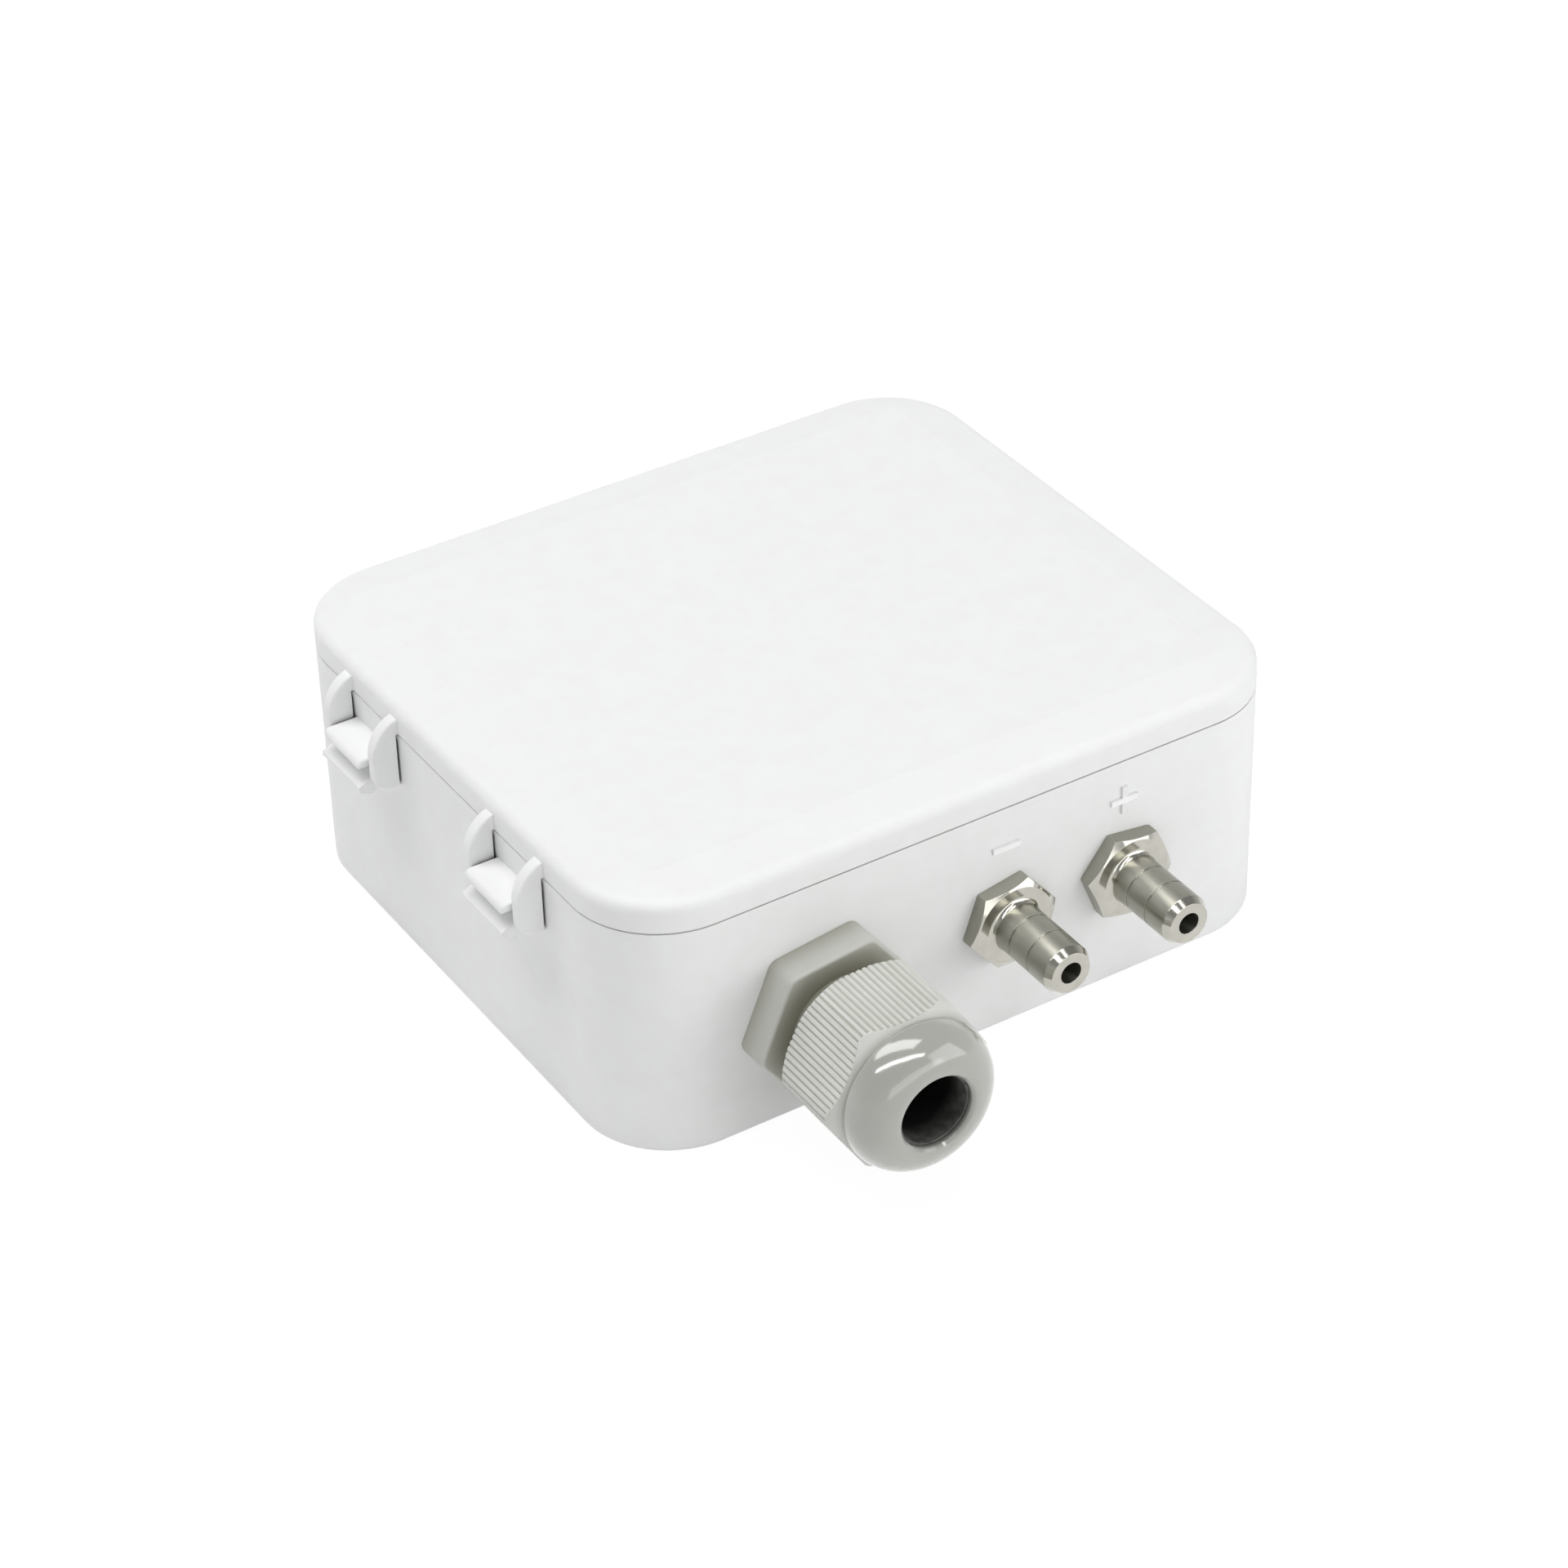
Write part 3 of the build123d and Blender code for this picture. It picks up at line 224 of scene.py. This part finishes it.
def nitrile_seal():
    """Moulded nitrile rubber: dull black, painted grey in patches near the mouth as painted light, fading to
    black deeper in.
    """
    material, tree, shader, place = start_material("moulded_nitrile", IOR=1.52)
    along = add(tree, "SeparateXYZ", {"Vector": place}, "Y")
    # painted light: the bore is painted grey near the mouth, where light reaches in, and black further in
    mouth_painted_light = add(tree, "MapRange", {"Value": along, "From Min": gland_low.y + 1.5 * MM,
                                    "From Max": gland_low.y + 5.0 * MM, "To Min": 1.0, "To Max": 0.0})
    cloud = add(tree, "TexNoise", {"Vector": place, "Scale": per(1.1), "Detail": 3.0})
    patches = add(tree, "MapRange", {"Value": cloud, "From Min": 0.35, "From Max": 0.6,
                                     "To Min": 0.45, "To Max": 1.0})
    bloom = add(tree, "Math", {0: mouth_painted_light, 1: patches}, operation="MULTIPLY")
    colour = add(tree, "Mix", {0: bloom, 6: linear("#0E0F0E"), 7: linear("#6A6C68")}, 2, data_type="RGBA")
    rough = add(tree, "MapRange", {"Value": bloom, "To Min": 0.55, "To Max": 0.75})
    pores = add(tree, "TexNoise", {"Vector": place, "Scale": per(0.25), "Detail": 3.0})
    porous = add(tree, "Bump", {"Height": pores, "Distance": 0.01 * MM, "Strength": 0.6})
    feed(tree, shader, {"Base Color": colour, "Roughness": rough, "Normal": porous})
    return material


def silicone_hose():
    """Extruded silicone: milky and slightly see-through, with a soft shine."""
    material, tree, shader, place = start_material("extruded_silicone", IOR=1.41, Subsurface_Weight=0.35,
                                                   Subsurface_Radius=(1.0, 0.9, 0.8),
                                                   Subsurface_Scale=1.5 * MM)
    cloud = add(tree, "TexNoise", {"Vector": place, "Scale": per(3.0), "Detail": 3.0})
    milk = add(tree, "MapRange", {"Value": cloud, "From Min": 0.35, "From Max": 0.65})
    colour = add(tree, "Mix", {0: milk, 6: linear("#E2E0D6"), 7: linear("#D6D4CA")}, 2, data_type="RGBA")
    rough = add(tree, "MapRange", {"Value": milk, "To Min": 0.28, "To Max": 0.36})
    feed(tree, shader, {"Base Color": colour, "Roughness": rough})
    return material


def solder_mask():
    """Green solder mask over copper tracks on a glass laminate: the tracks show lighter and stand proud."""
    material, tree, shader, place = start_material("solder_mask", IOR=1.5, Roughness=0.25)
    lines = add(tree, "TexBrick",
                {"Vector": place, "Scale": per(9.0), "Color1": (0, 0, 0, 1), "Color2": (0, 0, 0, 1),
                 "Mortar": (1, 1, 1, 1), "Mortar Size": 0.022, "Mortar Smooth": 0.1, "Bias": 0.0,
                 "Brick Width": 1.7, "Row Height": 0.13}, "Fac", offset=0.37, offset_frequency=3)
    fields = add(tree, "TexNoise", {"Vector": place, "Scale": per(9.0), "Detail": 1.0})
    routed = add(tree, "MapRange", {"Value": fields, "From Min": 0.49, "From Max": 0.51})
    tracks = add(tree, "Math", {0: lines, 1: routed}, operation="MULTIPLY")
    colour = add(tree, "Mix", {0: tracks, 6: linear("#0E4A26"), 7: linear("#1C6A38")}, 2, data_type="RGBA")
    proud = add(tree, "Bump", {"Height": tracks, "Distance": 0.035 * MM, "Strength": 0.8})
    feed(tree, shader, {"Base Color": colour, "Normal": proud})
    return material


def zinc_plate():
    """Bright zinc plate on steel: a cool grey with a faint drawn grain."""
    material, tree, shader, place = start_material("zinc_plate", Metallic=1.0)
    grain = add(tree, "TexNoise", {"Vector": place, "Scale": per(0.3), "Detail": 4.0})
    colour = add(tree, "Mix", {0: grain, 6: linear("#B9BBBD"), 7: linear("#C9CACA")}, 2, data_type="RGBA")
    rough = add(tree, "MapRange", {"Value": grain, "To Min": 0.22, "To Max": 0.38})
    feed(tree, shader, {"Base Color": colour, "Roughness": rough})
    return material


def moulded_plastic(name, first, second, roughness):
    """A small moulded thermoplastic piece: one colour with a fine uneven gloss."""
    material, tree, shader, place = start_material(name, IOR=1.5)
    cloud = add(tree, "TexNoise", {"Vector": place, "Scale": per(1.8), "Detail": 3.0})
    tint = add(tree, "MapRange", {"Value": cloud, "From Min": 0.35, "From Max": 0.65})
    colour = add(tree, "Mix", {0: tint, 6: linear(first), 7: linear(second)}, 2, data_type="RGBA")
    rough = add(tree, "MapRange", {"Value": tint, "To Min": roughness - 0.05, "To Max": roughness + 0.05})
    grain = add(tree, "TexNoise", {"Vector": place, "Scale": per(0.2), "Detail": 3.0})
    grained = add(tree, "Bump", {"Height": grain, "Distance": 0.006 * MM, "Strength": 0.5})
    feed(tree, shader, {"Base Color": colour, "Roughness": rough, "Normal": grained})
    return material


def tinned_chip():
    """Black epoxy package with tinned leads: the leads are the low stretch beside the board."""
    material, tree, shader, place = start_material("epoxy_package", IOR=1.5)
    height = add(tree, "SeparateXYZ", {"Vector": place}, "Z")
    lead = add(tree, "MapRange", {"Value": height, "From Min": lead_top - 0.03 * MM,
                                  "From Max": lead_top + 0.03 * MM,
                                  "To Min": 1.0, "To Max": 0.0})
    grain = add(tree, "TexNoise", {"Vector": place, "Scale": per(0.2), "Detail": 3.0})
    black = add(tree, "Mix", {0: grain, 6: linear("#17181A"), 7: linear("#222325")}, 2, data_type="RGBA")
    colour = add(tree, "Mix", {0: lead, 6: black, 7: linear("#C8C8C4")}, 2, data_type="RGBA")
    rough = add(tree, "MapRange", {"Value": lead, "To Min": 0.55, "To Max": 0.3})
    grained = add(tree, "Bump", {"Height": grain, "Distance": 0.006 * MM, "Strength": 0.5})
    feed(tree, shader, {"Base Color": colour, "Metallic": lead, "Roughness": rough, "Normal": grained})
    return material


def gilt_pins():
    """A black header strip with gilt pins, which start at the strip's top."""
    material, tree, shader, place = start_material("gilt_header", IOR=1.5)
    height = add(tree, "SeparateXYZ", {"Vector": place}, "Z")
    pin = add(tree, "MapRange", {"Value": height, "From Min": pins_start - 0.02 * MM,
                                 "From Max": pins_start + 0.04 * MM})
    grain = add(tree, "TexNoise", {"Vector": place, "Scale": per(0.3), "Detail": 3.0})
    black = add(tree, "Mix", {0: grain, 6: linear("#141415"), 7: linear("#1E1E20")}, 2, data_type="RGBA")
    colour = add(tree, "Mix", {0: pin, 6: black, 7: linear("#D6B25E")}, 2, data_type="RGBA")
    rough = add(tree, "MapRange", {"Value": pin, "To Min": 0.45, "To Max": 0.25})
    feed(tree, shader, {"Base Color": colour, "Metallic": pin, "Roughness": rough})
    return material


def sleeved_can():
    """An electrolytic can: a dark blue film sleeve that leaves the aluminium top bare."""
    material, tree, shader, place = start_material("sleeved_can", IOR=1.5)
    height = add(tree, "SeparateXYZ", {"Vector": place}, "Z")
    bare = add(tree, "MapRange", {"Value": height, "From Min": can_top - 0.25 * MM,
                                  "From Max": can_top - 0.2 * MM})
    cloud = add(tree, "TexNoise", {"Vector": place, "Scale": per(1.2), "Detail": 3.0})
    film = add(tree, "Mix", {0: cloud, 6: linear("#1B2238"), 7: linear("#222A42")}, 2, data_type="RGBA")
    colour = add(tree, "Mix", {0: bare, 6: film, 7: linear("#C9CCCE")}, 2, data_type="RGBA")
    rough = add(tree, "MapRange", {"Value": bare, "To Min": 0.3, "To Max": 0.35})
    feed(tree, shader, {"Base Color": colour, "Metallic": bare, "Roughness": rough})
    return material


def cast_epoxy_lamp():
    """Cast clear green epoxy: it lets light through and has a wet shine."""
    material, tree, shader, place = start_material("cast_epoxy", IOR=1.54, Transmission_Weight=0.5)
    cloud = add(tree, "TexNoise", {"Vector": place, "Scale": per(0.8), "Detail": 3.0})
    colour = add(tree, "Mix", {0: cloud, 6: linear("#4FC35E"), 7: linear("#6AD47A")}, 2, data_type="RGBA")
    rough = add(tree, "MapRange", {"Value": cloud, "To Min": 0.08, "To Max": 0.16})
    feed(tree, shader, {"Base Color": colour, "Roughness": rough})
    return material


def dress(names, material):
    """Gives CAD nodes their finished material."""
    for name in names:
        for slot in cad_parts[name].material_slots:
            slot.material = material


def dress_all():
    """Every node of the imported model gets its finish."""
    dress(["base_shell", "lid"], moulded_abs())
    dress(["gland_body", "gland_nut", "gland_lock_nut"], moulded_polyamide())
    dress(["port_minus", "port_plus", "port_lock_nuts"], nickel_plate())
    dress(["gland_seal"], nitrile_seal())
    dress(["gland_gasket"], matt_rubber("black_sheet_rubber", "#101111", "#1A1B1B"))
    dress(["lid_gasket"], matt_rubber("sponge_rubber", "#6B6E6E", "#7B7E7E"))
    dress(["hose_minus", "hose_plus"], silicone_hose())
    dress(["circuit_board"], solder_mask())
    dress(["board_screws", "terminal_screws", "port_washers"], zinc_plate())
    dress(["sensor_cell"], moulded_plastic("moulded_polyester", "#D9D5C4", "#D0CCBA", 0.45))
    dress(["terminal_block"], moulded_plastic("moulded_terminal_polyamide", "#2E7D4C", "#286F43", 0.4))
    dress(["zero_switch", "output_diode", "resistors", "amplifiers"],
          moulded_plastic("moulded_black_resin", "#1A1B1D", "#232426", 0.45))
    dress(["zero_button"], moulded_plastic("moulded_acetal", "#B4221C", "#A51D18", 0.35))
    dress(["controller_chip"], tinned_chip())
    dress(["service_header"], gilt_pins())
    dress(["capacitor"], sleeved_can())
    dress(["status_lamp"], cast_epoxy_lamp())


def away(azimuth, elevation):
    """The direction from the object to a place, by its azimuth and elevation in degrees."""
    a, e = math.radians(azimuth), math.radians(elevation)
    return Vector((math.sin(a) * math.cos(e), -math.cos(a) * math.cos(e), math.sin(e)))


def make_camera():
    """The camera at the photograph's viewpoint, turned by the photograph's small roll."""
    roll = math.radians(VIEW_ROLL)
    back = away(VIEW_AZIMUTH, VIEW_ELEVATION)
    level_right = Vector((0, 0, 1)).cross(back).normalized()
    level_up = back.cross(level_right)
    right = level_right * math.cos(roll) + level_up * math.sin(roll)
    up = level_up * math.cos(roll) - level_right * math.sin(roll)
    camera = bpy.data.objects.new("camera", bpy.data.cameras.new("camera"))
    camera.data.lens = LENS_MM
    camera.data.sensor_width = SENSOR_MM
    camera.data.clip_start = 0.01
    bpy.context.scene.collection.objects.link(camera)
    turn = Matrix((right, up, back)).transposed().to_4x4()
    camera.matrix_world = Matrix.Translation(VIEW_AIM + back * VIEW_DISTANCE) @ turn
    bpy.context.scene.camera = camera


def lamp(name, azimuth, elevation, distance, wide, high, light):
    """A soft lamp that points at the object; light is what it adds to a white sheet that faces it."""
    data = bpy.data.lights.new(name, "AREA")
    data.shape = "RECTANGLE"
    data.size = wide
    data.size_y = high
    data.energy = light * (math.pi * distance) ** 2
    made = bpy.data.objects.new(name, data)
    made.location = VIEW_AIM + away(azimuth, elevation) * distance
    made.rotation_euler = away(azimuth, elevation).to_track_quat("Z", "Y").to_euler()
    bpy.context.scene.collection.objects.link(made)
    return made


def make_lamps():
    """A long soft lamp overhead, two weak low lamps, and a strip that only shows in the shine."""
    lamp("overhead", azimuth=-142, elevation=75, distance=1.0, wide=0.40, high=1.3, light=0.79)
    lamp("front_right", azimuth=35, elevation=17, distance=0.5, wide=0.3, high=0.3, light=0.20)
    lamp("front_low", azimuth=0, elevation=5, distance=0.5, wide=0.5, high=0.15, light=0.12)
    strip = lamp("strip", azimuth=-38, elevation=56, distance=0.8, wide=1.3, high=0.12, light=0.70)
    strip.visible_diffuse = False


def make_world():
    """A studio sky: bright at the horizon and dim above, and plain white to the camera."""
    world = bpy.data.worlds.new("studio")
    world.use_nodes = True
    bpy.context.scene.world = world
    tree = world.node_tree
    tree.nodes.clear()
    looking = add(tree, "TexCoord", {}, "Generated")
    height = add(tree, "SeparateXYZ", {"Vector": looking}, "Z")
    fade = add(tree, "MapRange", {"Value": height, "From Max": SKY_FADE_HEIGHT,
                                  "To Min": SKY_AT_HORIZON, "To Max": SKY_ABOVE})
    sky = add(tree, "Background", {"Color": (1, 1, 1, 1), "Strength": fade})
    white = add(tree, "Background", {"Color": (1, 1, 1, 1), "Strength": 1.0})
    seen = add(tree, "LightPath", {}, "Is Camera Ray")
    mixed = add(tree, "MixShader", {0: seen, 1: sky, 2: white})
    add(tree, "OutputWorld", {"Surface": mixed})


def make_floor():
    """A white floor that the camera and reflections see almost white, with a faint shadow under the case."""
    mesh = bpy.data.meshes.new("floor")
    corners = [(x * FLOOR_HALF, y * FLOOR_HALF, 0) for x, y in ((-1, -1), (1, -1), (1, 1), (-1, 1))]
    mesh.from_pydata(corners, [], [(0, 1, 2, 3)])
    floor = bpy.data.objects.new("floor", mesh)
    floor.location.z = -FLOOR_DROP
    bpy.context.scene.collection.objects.link(floor)
    material = bpy.data.materials.new("white_paper")
    material.use_nodes = True
    tree = material.node_tree
    tree.nodes.clear()
    paper = add(tree, "BsdfDiffuse", {"Color": linear(FLOOR_PAPER)})
    glow = add(tree, "Emission", {"Color": (1, 1, 1, 1), "Strength": FLOOR_GLOW_STRENGTH})
    reflected = add(tree, "LightPath", {}, "Is Glossy Ray")
    through = add(tree, "LightPath", {}, "Is Transmission Ray")
    direct = add(tree, "LightPath", {}, "Is Camera Ray")
    mirrored = add(tree, "Math", {0: reflected, 1: through}, operation="MAXIMUM")
    seen = add(tree, "Math", {0: direct, 1: mirrored}, operation="MAXIMUM")
    share = add(tree, "Math", {0: seen, 1: FLOOR_GLOW_SHARE}, operation="MULTIPLY")
    mixed = add(tree, "MixShader", {0: share, 1: paper, 2: glow})
    add(tree, "OutputMaterial", {"Surface": mixed})
    mesh.materials.append(material)


bpy.context.scene.view_settings.view_transform = "Standard"
dress_all()
make_camera()
make_lamps()
make_world()
make_floor()
